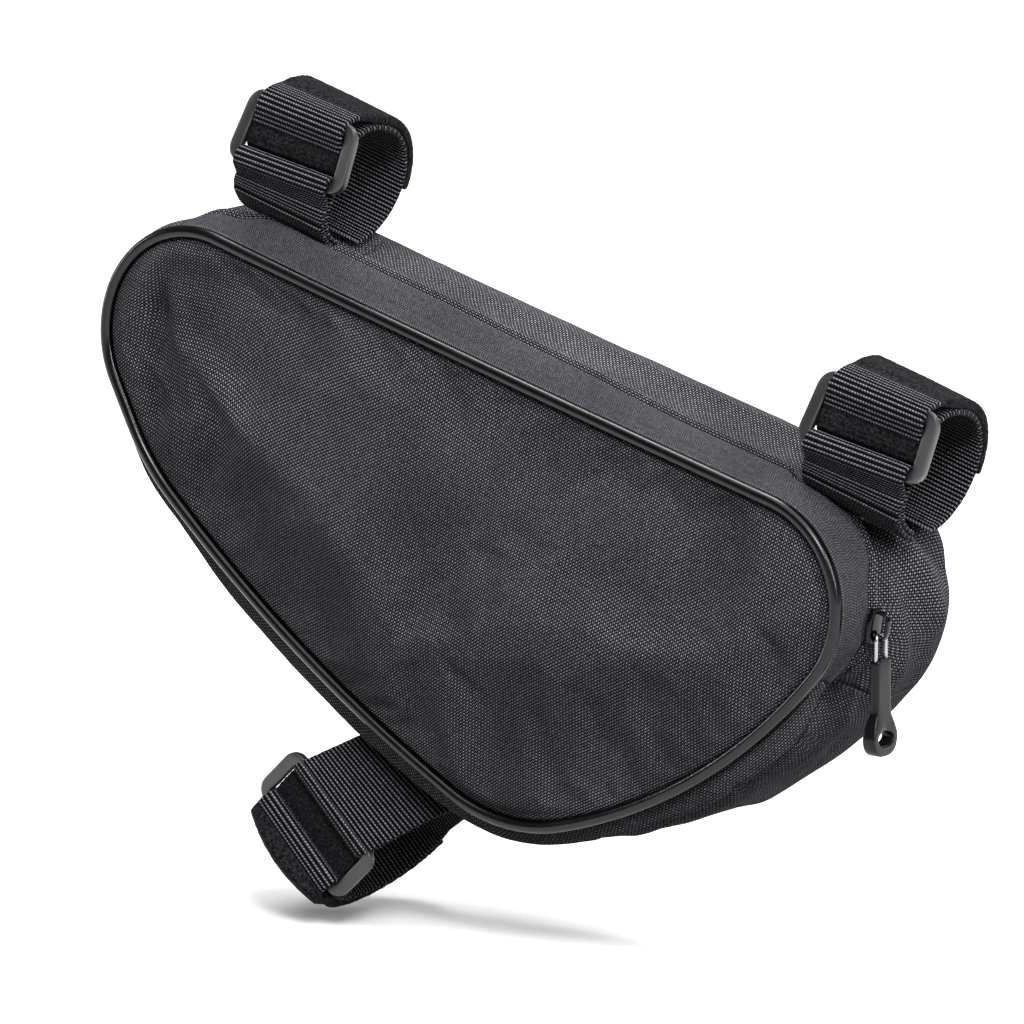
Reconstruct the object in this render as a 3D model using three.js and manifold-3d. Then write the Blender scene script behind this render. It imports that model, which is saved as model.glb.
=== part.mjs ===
import * as THREE from 'three';
import Module from 'manifold-3d';
import { mergeVertices } from 'three/addons/utils/BufferGeometryUtils.js';

// Triangular bicycle frame bag, in mm. The bag's own axes: x along its upper edge towards the rear,
// y away from the front panel, z square to both, from the middle of the two upper strap loops.
const slope = 17.9;                        // fall of the upper edge towards the rear, degrees
const gap = 0.3;                           // between neighbouring pieces

const bag = { front: -26.5, rear: 28.5, flare: 1.5, wall: 1.6, tape: 1.2, lip: 2, bulge: 9, rearBulge: 7, step: 15 };
const piping = { r: 2.1, sides: 8 };
const zip = { from: -17, to: 296, slit: 0.3, chainWidth: 4.4, chainThick: 1.3 };
const upperLoop = { r: 19.3, air: 0.35 };  // what the loops go round is r in radius, with air round it
const lowerLoop = { r: 22.4, x: -38.9, z: -198.5, fall: 28.25, shift: 6 };
const webbing = { width: 38, anchor: 1.5, band: 1.8 };
const ring = { long: 48, high: 23, bar: 3.4, side: 4.6, thick: 3, corner: 5.5, lean: 3 };
const pitch = (ring.high - ring.bar) / 2;  // from the ring's middle to the middle of each long bar
const straps = [
  { name: 'front_strap', x: -120, angle: 29 },
  { name: 'rear_strap', x: 115.5, angle: 29 },
];
const slider = { at: 276, long: 11, wide: 7.6, thick: 2, bailHigh: 3.8, bailWide: 2.4, bailBar: 1.1 };
const wire = { d: 1.2, wide: 5.5, long: 7 };
const grip = { long: 31, wide: 7.5, thick: 4.3, bulb: 12.5, bulbThick: 6, bulbR: 6, holeWide: 7.4, holeHigh: 3.4 };

// Corner circles of the piping line, clockwise seen from the front; side is the radius of the run that
// follows, below zero where it bends inwards.
const corners = [
  { x: -134.4, z: -65.1, r: 36.0, side: -9600 },
  { x: 94.7, z: -56.6, r: 33.5, side: 192 },
  { x: 20.1, z: -106.3, r: 59.1, side: 547 },
  { x: -89.1, z: -42.2, r: 84.4, side: 1000 },
];
// Closing line of the zip: s along the piping line from the start of the top side, y its depth, h its height.
const closing = [
  { s: -17, y: -20, h: 3.4 },
  { s: -2, y: -18, h: 7 },
  { s: 14, y: -15.6, h: 11.2 },
  { s: 77, y: -14.6, h: 10.6 },
  { s: 128, y: -13.8, h: 9.2 },
  { s: 187, y: -13, h: 7.2 },
  { s: 232, y: -13.4, h: 7.4 },
  { s: 246, y: -13, h: 8.4 },
  { s: 257, y: -13.4, h: 8 },
  { s: 268, y: -16.2, h: 6.6 },
  { s: 279, y: -16, h: 6 },
  { s: 287, y: -18, h: 5.2 },
  { s: 296, y: -21.4, h: 3.6 },
];
// How far the gusset swells beyond the piping line.
const swell = [
  { s: -35, h: 4 },
  { s: -15, h: 3.6 },
  { s: 25, h: 8 },
  { s: 225, h: 9 },
  { s: 262, h: 12.5 },
  { s: 320, h: 12 },
  { s: 350, h: 11 },
  { s: 385, h: 8.6 },
  { s: 415, h: 6.6 },
  { s: 440, h: 8.5 },
  { s: 470, h: 11.5 },
  { s: 500, h: 12.5 },
  { s: 560, h: 12.5 },
  { s: 600, h: 9 },
  { s: 640, h: 7.5 },
  { s: 680, h: 5 },
];

const rad = Math.PI / 180;
const smooth = (t) => t * t * (3 - 2 * t);
const clamp = (t) => Math.min(1, Math.max(0, t));
const mix = (a, b, t) => a + (b - a) * t;

// Outline: the piping line as arcs, and any point of it by its arc length.
function cornerTangents() {
  return corners.map((c, i) => {
    const d = corners[(i + 1) % corners.length];
    const reach = c.side - c.r;
    const reach2 = c.side - d.r;
    const dx = d.x - c.x;
    const dz = d.z - c.z;
    const len = Math.hypot(dx, dz);
    const along = (reach * reach - reach2 * reach2 + len * len) / (2 * len);
    const off = Math.sqrt(reach * reach - along * along) * Math.sign(c.side);
    const x = c.x + (dx / len) * along + (dz / len) * off;
    const z = c.z + (dz / len) * along - (dx / len) * off;
    const start = Math.atan2((c.z - z) / reach, (c.x - x) / reach);
    const end = Math.atan2((d.z - z) / reach2, (d.x - x) / reach2);
    return { x, z, r: c.side, start, end };
  });
}

function turn(a, b) {
  return THREE.MathUtils.euclideanModulo(b - a + Math.PI, 2 * Math.PI) - Math.PI;
}

const runs = cornerTangents();
const arcs = [];
runs.forEach((run, i) => {
  const next = runs[(i + 1) % runs.length];
  const d = corners[(i + 1) % corners.length];
  arcs.push({ x: run.x, z: run.z, r: run.r, a: run.start, sweep: turn(run.start, run.end) });
  arcs.push({ x: d.x, z: d.z, r: d.r, a: run.end, sweep: turn(run.end, next.start) });
});
arcs.forEach((arc) => {
  arc.length = Math.abs(arc.r * arc.sweep);
});
const perimeter = arcs.reduce((sum, arc) => sum + arc.length, 0);

function station(s) {
  let rest = THREE.MathUtils.euclideanModulo(s, perimeter);
  const arc = arcs.find((a) => {
    if (rest <= a.length) return true;
    rest -= a.length;
    return false;
  }) ?? arcs[0];
  const t = clamp(rest / arc.length);
  const angle = arc.a + arc.sweep * t;
  const nx = Math.cos(angle);
  const nz = Math.sin(angle);
  return { s, x: arc.x + arc.r * nx, z: arc.z + arc.r * nz, nx, nz };
}

function stations(from, to) {
  const breaks = [from];
  for (let lap = -1; lap <= 1; lap += 1) {
    let s = lap * perimeter;
    for (const arc of arcs) {
      const step = Math.min(bag.step, Math.abs(arc.r) * 0.24);
      const n = Math.ceil(arc.length / step);
      for (let i = 0; i < n; i += 1) breaks.push(s + (arc.length * i) / n);
      s += arc.length;
    }
  }
  const inside = breaks.filter((s) => s > from + 3 && s < to - 3);
  return [from, ...inside, to].map(station);
}
const loop = stations(0, perimeter).slice(0, -1);

// Gusset surface: its height above the piping line at any depth.
function along(rows, s, key) {
  const last = rows.length - 1;
  if (s <= rows[0].s) return rows[0][key];
  if (s >= rows[last].s) return rows[last][key];
  const i = rows.findIndex((row) => row.s > s) - 1;
  return mix(rows[i][key], rows[i + 1][key], smooth((s - rows[i].s) / (rows[i + 1].s - rows[i].s)));
}

// Arc length counted from -100, so that the zipped run has no jump in it.
const counted = (s) => THREE.MathUtils.euclideanModulo(s + 100, perimeter) - 100;
const closingAt = (s) => ({ y: along(closing, counted(s), 'y'), h: along(closing, counted(s), 'h') });
const round = [...swell, { s: perimeter + swell[0].s, h: swell[0].h }];
const swellAt = (s) => along(round, THREE.MathUtils.euclideanModulo(s - swell[0].s, perimeter) + swell[0].s, 'h');

const frontEdge = bag.front + piping.r + gap;
const rearEdge = bag.rear - piping.r - gap;
const middleY = (frontEdge + rearEdge) / 2;
const halfY = (rearEdge - frontEdge) / 2;

function strapWindow(x) {
  const nearest = Math.min(...straps.map((strap) => Math.abs(x - strap.x)));
  return 1 - smooth(clamp((nearest - webbing.width / 2 - 8) / 12));
}

function height(st, y) {
  const w = counted(st.s);
  const line = closingAt(st.s);
  const share = smooth(clamp((w - zip.from + 24) / 24)) * smooth(clamp((zip.to + 24 - w) / 24));
  const v = clamp(Math.abs(y - middleY) / halfY);
  const plain = bag.lip + (swellAt(st.s) - bag.lip) * Math.sqrt(1 - v ** 4);
  const shoulder = clamp((y - frontEdge) / (line.y - frontEdge));
  const ahead = bag.lip + (line.h - bag.lip) * Math.sin(shoulder * 90 * rad);
  const behind = mix(line.h, plain, smooth(clamp((y - line.y) / 20)));
  let h = mix(plain, y < line.y ? ahead : behind, share);
  // The cloth keeps clear of the upper loops, and lies lower still under the sewn ends of the straps.
  const clear = upperLoop.r + upperLoop.air + 0.6 + strapWindow(st.x) * (2 * webbing.anchor + 2 * gap);
  if (Math.abs(y) < clear && st.nz > 0.5) {
    const under = (-Math.sqrt(clear * clear - y * y) - st.z) / st.nz - spread(y);
    h = Math.min(h, under);
  }
  return h;
}

// The rear outline is a little larger than the front one.
const spread = (y) => bag.flare * smooth(clamp((y - bag.front) / (bag.rear - bag.front)));
function place(st, u, y) {
  const out = u + spread(y);
  return new THREE.Vector3(st.x + st.nx * out, y, st.z + st.nz * out);
}

// Closed bodies from points and faces.
function solid(points, faces) {
  const geometry = new THREE.BufferGeometry();
  const flat = points.flatMap((p) => [p.x, p.y, p.z]);
  geometry.setAttribute('position', new THREE.Float32BufferAttribute(flat, 3));
  geometry.setIndex(faces.flat());
  if (volume(geometry) < 0) geometry.setIndex(faces.flatMap(([a, b, c]) => [a, c, b]));
  return geometry;
}

function volume(geometry) {
  const p = geometry.attributes.position;
  const index = geometry.index.array;
  let sum = 0;
  const v = [new THREE.Vector3(), new THREE.Vector3(), new THREE.Vector3()];
  for (let i = 0; i < index.length; i += 3) {
    v.forEach((q, k) => q.fromBufferAttribute(p, index[i + k]));
    sum += v[0].dot(v[1].cross(v[2]));
  }
  return sum / 6;
}

// Rows of sections with the same number of points, joined into one closed body.
function loft(sections, closed) {
  const m = sections[0].length;
  const points = sections.flat();
  const faces = [];
  const rows = closed ? sections.length : sections.length - 1;
  for (let i = 0; i < rows; i += 1) {
    const a = i * m;
    const b = ((i + 1) % sections.length) * m;
    for (let j = 0; j < m; j += 1) {
      const k = (j + 1) % m;
      faces.push([a + j, b + j, b + k], [a + j, b + k, a + k]);
    }
  }
  if (!closed) {
    // A section is an outer row and the same number of inner points back again.
    const last = (sections.length - 1) * m;
    for (let j = 0; j < m / 2 - 1; j += 1) {
      const o = j;
      const n = m - 1 - j;
      faces.push([o, o + 1, n], [o + 1, n - 1, n]);
      faces.push([last + o, last + n, last + o + 1], [last + o + 1, last + n, last + n - 1]);
    }
  }
  return solid(points, faces);
}

// Panel: rings from the edge to a pole, outer skin and inner skin joined at the edge.
function panel(seam, bulge) {
  const shares = [1, 0.95, 0.83, 0.62, 0.34];
  const edge = piping.r + gap;
  const side = Math.sign(seam);
  const middle = { x: -10, z: -88 };
  const ringAt = (share, skin) => loop.map((st) => {
    const p = place(st, -edge, seam);
    const rise = Math.abs(seam) + bulge * (1 - share ** 2.4) - skin;
    return new THREE.Vector3(mix(middle.x, p.x, share), side * rise, mix(middle.z, p.z, share));
  });
  const n = loop.length;
  const outer = shares.map((share) => ringAt(share, 0));
  const inner = shares.map((share) => ringAt(share, bag.wall));
  const points = [...outer.flat(), ...inner.flat()];
  const faces = [];
  const skins = [0, shares.length * n];
  skins.forEach((base, k) => {
    const pole = points.length;
    points.push(new THREE.Vector3(middle.x, side * (Math.abs(seam) + bulge - k * bag.wall), middle.z));
    for (let r = 0; r < shares.length; r += 1) {
      for (let i = 0; i < n; i += 1) {
        const a = base + r * n + i;
        const b = base + r * n + ((i + 1) % n);
        const tri = r === shares.length - 1 ? [[a, b, pole]] : [[a, b, b + n], [a, b + n, a + n]];
        faces.push(...(k ? tri.map(([p, q, s]) => [p, s, q]) : tri));
      }
    }
  });
  for (let i = 0; i < n; i += 1) {
    const j = (i + 1) % n;
    const o = shares.length * n;
    faces.push([i, o + i, o + j], [i, o + j, j]);
  }
  return solid(points, faces);
}

// Strip of the gusset between two depths, given as functions of the station.
function strip(from, to, near, far, wall, shares, lift = () => 0) {
  const rows = stations(from, to).map((st) => {
    const ys = shares.map((t) => mix(near(st), far(st), t));
    const outer = ys.map((y) => place(st, height(st, y) - lift(st, y), y));
    const inner = ys.map((y) => place(st, height(st, y) - lift(st, y) - wall, y)).reverse();
    return [...outer, ...inner];
  });
  return loft(rows, false);
}

// Band of even thickness along a path in (y, w), width along x; an eye or a fold is part of the path.
function band(path, thick, width) {
  const left = [];
  const right = [];
  path.forEach((p, i) => {
    const a = path[Math.max(0, i - 1)];
    const b = path[Math.min(path.length - 1, i + 1)];
    const d = new THREE.Vector2(b[0] - a[0], b[1] - a[1]).normalize();
    left.push([p[0] - (d.y * thick) / 2, p[1] + (d.x * thick) / 2]);
    right.push([p[0] + (d.y * thick) / 2, p[1] - (d.x * thick) / 2]);
  });
  const outline = [...left, ...right.reverse()];
  const at = (x) => outline.map(([y, z]) => new THREE.Vector3(x, y, z));
  return loft([at(-width / 2), at(width / 2)], false);
}

const polar = (r, degrees) => [-r * Math.cos(degrees * rad), r * Math.sin(degrees * rad)];

function arcPath(r0, r1, a0, a1, n) {
  const path = [];
  for (let i = 0; i <= n; i += 1) {
    path.push(polar(mix(r0, r1, smooth(i / n)), mix(a0, a1, i / n)));
  }
  return path;
}

// Half turn round a ring bar, from the side facing the loop's middle to the outer side.
function fold(centre, r, from, sweep, n) {
  const path = [];
  for (let i = 0; i <= n; i += 1) {
    const a = (from + (sweep * i) / n) * rad;
    path.push([centre[0] + r * Math.cos(a), centre[1] + r * Math.sin(a)]);
  }
  return path;
}

// The ring's two long bars: the upper one stands further out, on both layers of the band.
function barsOf(loopSize, angle, lean) {
  const near = loopSize.r + upperLoop.air + webbing.band + gap + ring.thick * 0.65;
  const far = near + lean;
  const half = Math.acos((near * near + far * far - 4 * pitch * pitch) / (2 * near * far)) / rad / 2;
  const low = polar(near, angle - half);
  const high = polar(far, angle + half);
  const face = Math.atan2(high[0] - low[0], high[1] - low[1]) / rad;
  return { low, high, lowAt: angle - half, highAt: angle + half, face };
}

function ringBody(bars, flip) {
  const shape = new THREE.Shape();
  rounded(shape, ring.long, ring.high, ring.corner);
  const hole = new THREE.Path();
  rounded(hole, ring.long - 2 * ring.side, ring.high - 2 * ring.bar, 1.2);
  shape.holes.push(hole);
  const bevel = 0.6;
  const options = { depth: ring.thick - 2 * bevel, bevelThickness: bevel, bevelSize: bevel, bevelOffset: -bevel, bevelSegments: 1, curveSegments: 4 };
  const body = new THREE.ExtrudeGeometry(shape, options);
  body.translate(0, 0, -options.depth / 2);
  // Its outer face looks away from the loop, at bars.face above the front.
  const way = flip ? -1 : 1;
  body.rotateX(Math.PI / 2 - way * bars.face * rad);
  body.translate(0, (bars.low[0] + bars.high[0]) / 2, (way * (bars.low[1] + bars.high[1])) / 2);
  return body;
}

function rounded(path, w, h, r) {
  path.moveTo(-w / 2 + r, -h / 2);
  path.lineTo(w / 2 - r, -h / 2);
  path.absarc(w / 2 - r, -h / 2 + r, r, -Math.PI / 2, 0);
  path.lineTo(w / 2, h / 2 - r);
  path.absarc(w / 2 - r, h / 2 - r, r, 0, Math.PI / 2);
  path.lineTo(-w / 2 + r, h / 2);
  path.absarc(-w / 2 + r, h / 2 - r, r, Math.PI / 2, Math.PI);
  path.lineTo(-w / 2, -h / 2 + r);
  path.absarc(-w / 2 + r, -h / 2 + r, r, Math.PI, Math.PI * 1.5);
}

// Materials and pieces.
const cloth = new THREE.MeshStandardMaterial({ name: 'woven_cloth', color: 0x1c1c1f, roughness: 0.9 });
const tapeCloth = new THREE.MeshStandardMaterial({ name: 'zip_tape', color: 0x242427, roughness: 0.85 });
const vinyl = new THREE.MeshStandardMaterial({ name: 'vinyl', color: 0x0c0c0d, roughness: 0.3 });
const webMaterial = new THREE.MeshStandardMaterial({ name: 'webbing', color: 0x101012, roughness: 0.8 });
const plastic = new THREE.MeshStandardMaterial({ name: 'plastic', color: 0x161618, roughness: 0.5 });
const enamel = new THREE.MeshStandardMaterial({ name: 'black_metal', color: 0x0a0a0b, metalness: 0.6, roughness: 0.3 });

const root = new THREE.Group();
root.name = 'bicycle_frame_bag';
const inBag = new THREE.Group();
inBag.name = 'bag_axes';
inBag.rotation.y = slope * rad;
root.add(inBag);

function add(name, geometry, material, parent = inBag) {
  const mesh = new THREE.Mesh(geometry, material);
  mesh.name = name;
  parent.add(mesh);
  return mesh;
}

add('front_panel', panel(bag.front, bag.bulge), cloth);
add('back_panel', panel(bag.rear, bag.rearBulge), cloth);

for (const [name, seam] of [['front_piping', bag.front], ['back_piping', bag.rear]]) {
  const rows = loop.map((st) => {
    const row = [];
    for (let k = 0; k < piping.sides; k += 1) {
      const a = (k / piping.sides) * 2 * Math.PI;
      const p = place(st, piping.r * Math.cos(a), seam);
      row.push(new THREE.Vector3(p.x, seam + piping.r * Math.sin(a), p.z));
    }
    return row;
  });
  add(name, loft(rows, true), vinyl);
}

const closeY = (st) => closingAt(st.s).y;
const tapeShares = [0, 0.3, 0.65, 1];
const stripShares = [0, 0.13, 0.27, 0.42, 0.57, 0.76, 0.92, 1];
const wrapShares = [0, 0.04, 0.13, 0.3, 0.5, 0.7, 0.87, 0.96, 1];
add('zip_tape', strip(zip.from, zip.to, () => frontEdge, (st) => closeY(st) - zip.slit / 2, bag.tape, tapeShares), tapeCloth);
add('gusset_top', strip(zip.from, zip.to, (st) => closeY(st) + zip.slit / 2, () => rearEdge, bag.wall, stripShares), cloth);
add('gusset_bottom', strip(zip.to + gap, zip.from - gap + perimeter, () => frontEdge, () => rearEdge, bag.wall, wrapShares), cloth);

const chainRows = stations(zip.from + 4, zip.to - 8).map((st) => {
  const ys = [-0.5, 0, 0.5].map((t) => closeY(st) + t * zip.chainWidth);
  const top = Math.min(...ys.map((y) => height(st, y))) - bag.wall - 2 * gap;
  const outer = ys.map((y) => place(st, top, y));
  const inner = ys.map((y) => place(st, top - zip.chainThick, y)).reverse();
  return [...outer, ...inner];
});
add('zip_chain', loft(chainRows, false), enamel);

// The two upper straps and the lower strap.
function offset(path, d) {
  return path.map((p, i) => {
    const a = path[Math.max(0, i - 1)];
    const b = path[Math.min(path.length - 1, i + 1)];
    const t = new THREE.Vector2(b[0] - a[0], b[1] - a[1]).normalize();
    return [p[0] - t.y * d, p[1] + t.x * d];
  });
}

// The sewn anchor holds the ring's lower bar and the band is turned back over its upper bar; the paths
// are seen along the loop with the bag below it, and flip turns them over for a bag above it.
function strap(name, loopSize, angle, lean, ends, flip, group, shear = (p) => p) {
  const bars = barsOf(loopSize, angle, lean);
  const a = webbing.anchor;
  const b = webbing.band;
  const foldA = ring.bar / 2 + gap * 2 + a / 2;
  const foldB = ring.bar / 2 + gap * 2 + b / 2;
  const { low, high, lowAt, highAt } = bars;
  const inA = loopSize.r + upperLoop.air + a / 2;
  const inB = loopSize.r + upperLoop.air + b / 2;
  const outB = inB + b + gap;

  // Each fold wraps a little past the half turn, then the outer layer comes down onto the inner one.
  const wrap = 35;
  const away = (centre, r) => ([y, z]) => Math.hypot(y - centre[0], z - centre[1]) > r;
  const under = ends.anchor(inA, lowAt);
  const over = offset(under, -(a + gap)).filter(away(low, 5.6));
  const anchorPath = [...[...under].reverse(), ...fold(low, foldA, -lowAt - 12, 180 + 12 + wrap, 9), ...over];

  const bandPath = [
    ...ends.tie(inB),
    ...arcPath(inB, inB, 180, highAt + 8 + lean * 2, 14),
    ...fold(high, foldB, -highAt + 12, -(180 + 12 + wrap), 10),
    ...arcPath(outB, outB, highAt + 19 + lean * 3, ends.free, 15),
  ];
  const turned = (path) => (flip ? path.map(([y, z]) => [y, -z]) : path);
  const bend = (geometry) => {
    const p = geometry.attributes.position;
    for (let i = 0; i < p.count; i += 1) {
      const q = shear(new THREE.Vector3().fromBufferAttribute(p, i));
      p.setXYZ(i, q.x, q.y, q.z);
    }
    return geometry;
  };
  add(`${name}_anchor`, bend(band(turned(anchorPath), a, webbing.width)), webMaterial, group);
  add(`${name}_ring`, ringBody(bars, flip), plastic, group);
  add(`${name}_band`, bend(band(turned(bandPath), b, webbing.width)), webMaterial, group);
}

function axesAt(name, x, z, fall) {
  const group = new THREE.Group();
  group.name = name;
  group.position.set(x, 0, z);
  group.rotation.y = fall * rad;
  inBag.add(group);
  return group;
}

const upperEnds = {
  anchor: (r, start) => arcPath(r, r, start - 6, -74, 9),
  tie: (r) => arcPath(r, r, 258, 188, 8),
  free: 188,
};
for (const s of straps) {
  strap(s.name, upperLoop, s.angle, ring.lean, upperEnds, false, axesAt(`${s.name}_axes`, s.x, 0, 0));
}

// Where the lower strap is sewn: a place on the gusset, given in the lower loop's axes.
const cosFall = Math.cos(lowerLoop.fall * rad);
const sinFall = Math.sin(lowerLoop.fall * rad);
const toLower = (x, z) => [x * cosFall - z * sinFall, x * sinFall + z * cosFall];
const seat = stations(0, perimeter).map((st) => {
  const p = place(st, height(st, -6), -6);
  const [x, z] = toLower(p.x - lowerLoop.x, p.z - lowerLoop.z);
  const [nx, nz] = toLower(st.nx, st.nz);
  return { x, z, rise: -nx / nz, near: nz < 0, far: Math.abs(x - lowerLoop.shift) };
}).filter((q) => q.near).sort((p, q) => p.far - q.far)[0];
const seatZ = seat.z + (lowerLoop.shift - seat.x) * seat.rise;
const low = -(seatZ - 1.2 - webbing.anchor * 1.5 - gap);
const lowTie = -(seatZ - 1.2 - webbing.band / 2);
const lowerEnds = {
  anchor: (r, start) => [polar(r, start - 7), [-18.5, low + 10], [-15, low + 4.5], [-11.5, low + 1.3], [-7, low], [0, low]],
  tie: (r) => [[3, lowTie], [8, lowTie + 0.4], [12, lowTie + 3], [15, lowTie + 7.5], polar(r, 206), polar(r, 193)],
  free: 180,
};
const shear = (p) => {
  const t = smooth(clamp((p.z - lowerLoop.r * 0.7) / (-low - lowerLoop.r * 0.7 - 1)));
  return new THREE.Vector3(p.x + lowerLoop.shift * t, p.y, p.z + p.x * seat.rise * t);
};
strap('lower_strap', lowerLoop, 0, 0, lowerEnds, true, axesAt('lower_strap_axes', lowerLoop.x, lowerLoop.z, lowerLoop.fall), shear);

// Slider and pull.
function asManifold(wasm, geometry) {
  const bare = new THREE.BufferGeometry();
  bare.setAttribute('position', geometry.attributes.position.clone());
  if (geometry.index) bare.setIndex(geometry.index.clone());
  const merged = mergeVertices(bare, 1e-4);
  const mesh = new wasm.Mesh({
    numProp: 3,
    vertProperties: new Float32Array(merged.attributes.position.array),
    triVerts: new Uint32Array(merged.index.array),
  });
  return new wasm.Manifold(mesh);
}

function fromManifold(body) {
  const mesh = body.getMesh();
  const geometry = new THREE.BufferGeometry();
  geometry.setAttribute('position', new THREE.BufferAttribute(new Float32Array(mesh.vertProperties), 3));
  geometry.setIndex(new THREE.BufferAttribute(new Uint32Array(mesh.triVerts), 1));
  return geometry;
}

const wasm = await Module();
wasm.setup();

// Slider axes: x along the zip, y across it, z out of the gusset.
const st = station(slider.at);
const sliderY = closingAt(slider.at).y;
const ahead = station(slider.at + 1);
const zipWay = new THREE.Vector3(ahead.x - st.x, 0, ahead.z - st.z).normalize();
const outward = new THREE.Vector3(st.nx, 0, st.nz);
const across = new THREE.Vector3().crossVectors(outward, zipWay);
const seatHeight = Math.max(height(st, sliderY - slider.wide / 2), height(st, sliderY), height(st, sliderY + slider.wide / 2)) + gap;
const sliderAxes = new THREE.Group();
sliderAxes.name = 'slider_axes';
sliderAxes.matrixAutoUpdate = false;
sliderAxes.matrix.makeBasis(zipWay, across, outward).setPosition(place(st, seatHeight, sliderY));
inBag.add(sliderAxes);

const plate = new THREE.Shape();
rounded(plate, slider.long, slider.wide, 2.6);
const plateBody = new THREE.ExtrudeGeometry(plate, { depth: slider.thick, bevelEnabled: false, curveSegments: 4 });
const bail = new THREE.Shape();
const bailTop = slider.thick + slider.bailHigh;
bail.moveTo(-slider.long / 2 + 1, slider.thick - 0.5);
bail.lineTo(-slider.long / 2 + 1.6, slider.thick + slider.bailHigh * 0.7);
bail.quadraticCurveTo(-slider.long / 2 + 2.4, bailTop, 0, bailTop);
bail.quadraticCurveTo(slider.long / 2 - 1.4, bailTop, slider.long / 2 - 1, slider.thick + slider.bailHigh * 0.5);
bail.lineTo(slider.long / 2 - 1, slider.thick - 0.5);
const bailHole = new THREE.Path();
const holeLow = slider.thick;
const holeTop = bailTop - slider.bailBar;
bailHole.moveTo(-slider.long / 2 + 1.2 + slider.bailBar, holeLow);
bailHole.lineTo(slider.long / 2 - 1 - slider.bailBar, holeLow);
bailHole.lineTo(slider.long / 2 - 1 - slider.bailBar, holeTop - 1);
bailHole.lineTo(slider.long / 2 - 2 - slider.bailBar, holeTop);
bailHole.lineTo(-slider.long / 2 + 2.6 + slider.bailBar, holeTop);
bailHole.lineTo(-slider.long / 2 + 1.2 + slider.bailBar, holeTop - 1);
bail.holes.push(bailHole);
const bailBody = new THREE.ExtrudeGeometry(bail, { depth: slider.bailWide, bevelEnabled: false, curveSegments: 4 });
bailBody.rotateX(Math.PI / 2);
bailBody.translate(0, slider.bailWide / 2, 0);
const sliderBody = asManifold(wasm, plateBody).add(asManifold(wasm, bailBody));
add('zip_slider', fromManifold(sliderBody), enamel, sliderAxes);

// The pull hangs plumb from the lower end of the bail, in upright axes.
root.updateMatrixWorld(true);
const hinge = new THREE.Vector3(slider.long / 2 - 1 - slider.bailBar - wire.d / 2 - 0.3, 0, slider.thick + slider.bailHigh / 2 - 0.2);
hinge.applyMatrix4(sliderAxes.matrixWorld);
const pullAxes = new THREE.Group();
pullAxes.name = 'pull_axes';
pullAxes.position.copy(hinge);
root.add(pullAxes);

const half = wire.wide / 2;
const wirePath = new THREE.CurvePath();
const corner = 1.1;
const at = (y, z) => new THREE.Vector3(0, y, z);
wirePath.add(new THREE.LineCurve3(at(-half, -wire.long), at(-half, -corner)));
wirePath.add(new THREE.QuadraticBezierCurve3(at(-half, -corner), at(-half, 0), at(-half + corner, 0)));
wirePath.add(new THREE.LineCurve3(at(-half + corner, 0), at(half - corner, 0)));
wirePath.add(new THREE.QuadraticBezierCurve3(at(half - corner, 0), at(half, 0), at(half, -corner)));
wirePath.add(new THREE.LineCurve3(at(half, -corner), at(half, -wire.long)));
const wireRound = new THREE.Shape().absarc(0, 0, wire.d / 2, 0, 2 * Math.PI);
add('pull_wire', new THREE.ExtrudeGeometry(wireRound, { steps: 24, extrudePath: wirePath, curveSegments: 4 }), enamel, pullAxes);

// Grip outline in (y, z), thickness along x; it swells into a round end with an oval eye.
const gripTop = -wire.long - gap;
const gripLow = gripTop - grip.long;
const bulbZ = gripLow + grip.bulbR;
const outline = new THREE.Shape();
const w = grip.wide / 2;
const bw = grip.bulb / 2;
outline.moveTo(w, gripTop);
outline.lineTo(-w, gripTop);
outline.lineTo(-w - 0.2, gripTop - grip.long * 0.55);
outline.bezierCurveTo(-w - 0.4, bulbZ + 6, -bw, bulbZ + 3.5, -bw, bulbZ);
outline.bezierCurveTo(-bw, bulbZ - 4.6, -bw * 0.6, gripLow, 0, gripLow);
outline.bezierCurveTo(bw * 0.6, gripLow, bw, bulbZ - 4.6, bw, bulbZ);
outline.bezierCurveTo(bw, bulbZ + 3.5, w + 0.4, bulbZ + 6, w + 0.2, gripTop - grip.long * 0.55);
const eye = new THREE.Path();
eye.absellipse(0, bulbZ - 0.2, grip.holeWide / 2, grip.holeHigh / 2, 0, 2 * Math.PI);
outline.holes.push(eye);
const edge = 0.8;
const gripBody = new THREE.ExtrudeGeometry(outline, {
  depth: grip.thick - 2 * edge, bevelThickness: edge, bevelSize: edge, bevelOffset: -edge, bevelSegments: 2, curveSegments: 6,
});
gripBody.translate(0, 0, -grip.thick / 2 + edge);
// Outline axes to upright axes: (y, z, x) from (x, y, z).
gripBody.applyMatrix4(new THREE.Matrix4().set(0, 0, 1, 0, 1, 0, 0, 0, 0, 1, 0, 0, 0, 0, 0, 1));
const gp = gripBody.attributes.position;
for (let i = 0; i < gp.count; i += 1) {
  const t = smooth(clamp((bulbZ + 8 - gp.getZ(i)) / 8));
  gp.setX(i, gp.getX(i) * mix(1, grip.bulbThick / grip.thick, t));
}
add('pull_grip', gripBody, vinyl, pullAxes);

root.updateMatrixWorld(true);
export default root;
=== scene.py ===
import math

import bmesh
import bpy
import numpy as np
from mathutils import Matrix, Vector, noise


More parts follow.
